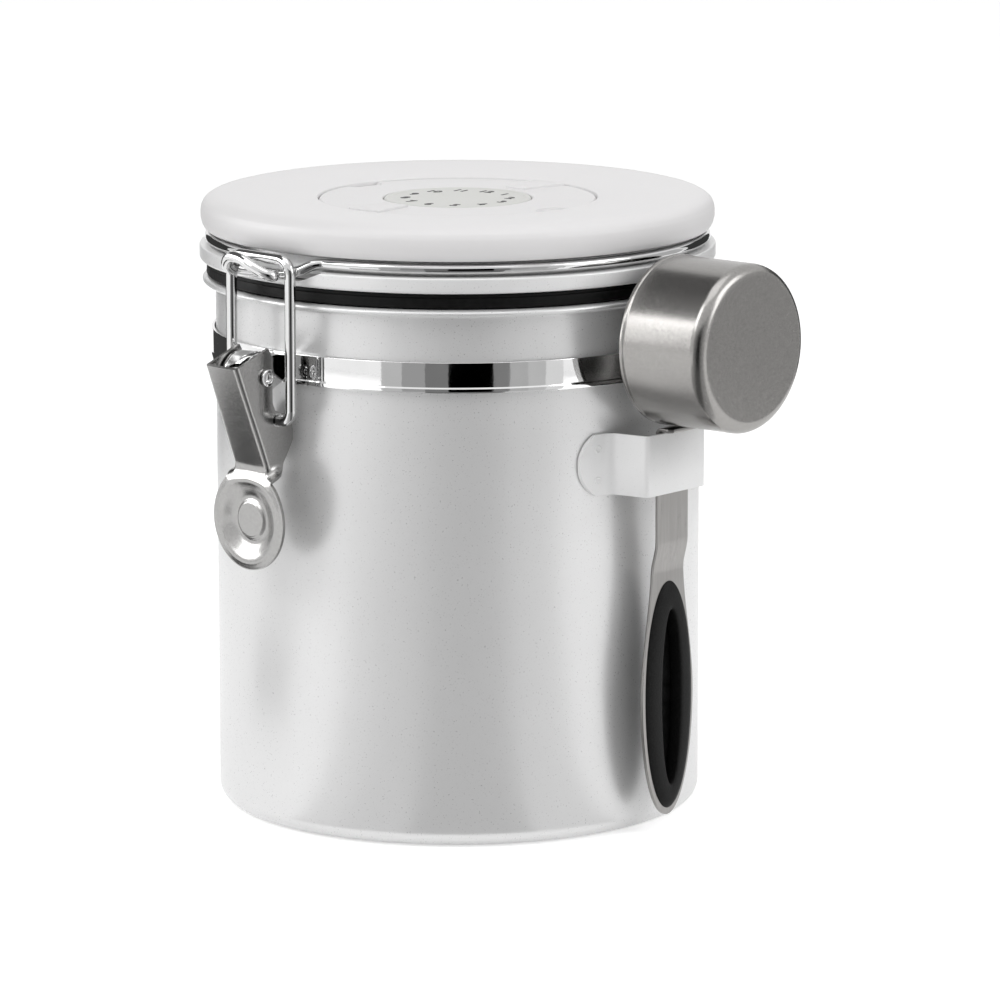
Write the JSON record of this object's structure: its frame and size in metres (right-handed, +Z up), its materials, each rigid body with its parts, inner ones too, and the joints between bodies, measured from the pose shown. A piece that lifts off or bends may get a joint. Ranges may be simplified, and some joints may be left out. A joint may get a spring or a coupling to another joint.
{
  "type": "coffee canister",
  "caption": "Round metal coffee canister with a hinged vented lid, wire bail latch, date dial, and a long scoop hung in a side holder.",
  "frame": {"origin": "centre of the flat base, on the surface that the canister stands on", "axes": "+Z up along the canister's axis, -Y towards the latch, +Y towards the lid hinge, +X close to the scoop's side"},
  "size_m": [0.1584, 0.1497, 0.1524],
  "materials": {
    "silver_paint": "matte silver-white paint",
    "chrome": "bright chrome",
    "polished_steel": "satin stainless steel",
    "white_plastic": "fine matte white",
    "black_rubber": "fine-grained black",
    "silicone": "clear silicone",
    "felt": "pressed felt"
  },
  "bodies": {
    "canister": {"canister_body": "silver_paint", "clamp_band": "chrome", "hinge_bracket": "chrome", "latch_bracket": "chrome", "latch_pin": "chrome", "scoop_holder": "silver_paint"},
    "lid": {"lid_gasket": "black_rubber", "lid_pan": "silver_paint", "lid_wire": "chrome", "lid_cover": "white_plastic", "cover_screw_1": "polished_steel", "cover_screw_2": "polished_steel", "cover_screw_3": "polished_steel", "cover_screw_4": "polished_steel", "number_disc": "white_plastic", "dial_clip": "polished_steel", "valve_housing": "white_plastic", "valve_filter": "felt", "valve_grille": "white_plastic"},
    "dial": {"dial_ring": "white_plastic"},
    "valve": {"valve_membrane": "silicone"},
    "lever": {"latch_lever": "polished_steel"},
    "bail": {"latch_bail": "chrome"},
    "scoop": {"scoop_cup": "polished_steel", "scoop_handle": "polished_steel", "handle_grip": "black_rubber"}
  },
  "joints": [
    {"name": "lid_hinge", "type": "hinge", "parent": "canister", "child": "lid", "pos_m": [0, 0.0669, 0.1275], "axis": [-1, 0, 0], "range_deg": [0, 105]},
    {"name": "lever_hinge", "type": "hinge", "parent": "canister", "child": "lever", "pos_m": [0, -0.0703, 0.1146], "axis": [-1, 0, 0], "range_deg": [0, 120]},
    {"name": "bail_swing", "type": "hinge", "parent": "lever", "child": "bail", "pos_m": [0, -0.0668, 0.1039], "axis": [-1, 0, 0], "range_deg": [-96, 0]},
    {"name": "dial_turn", "type": "hinge", "parent": "lid", "child": "dial", "pos_m": [0, 0, 0.1502], "axis": [0, 0, 1], "continuous": true},
    {"name": "valve_lift", "type": "slide", "parent": "lid", "child": "valve", "axis": [0, 0, 1], "range_m": [0, 0.001], "stiffness_N_per_m": 20},
    {"name": "scoop_lift", "type": "slide", "parent": "canister", "child": "scoop", "axis": [0, 0, 1], "range_m": [0, 0.15]}
  ],
  "couplings": [
    {"joint": "bail_swing", "follows": "lever_hinge", "ratio": -0.8}
  ]
}
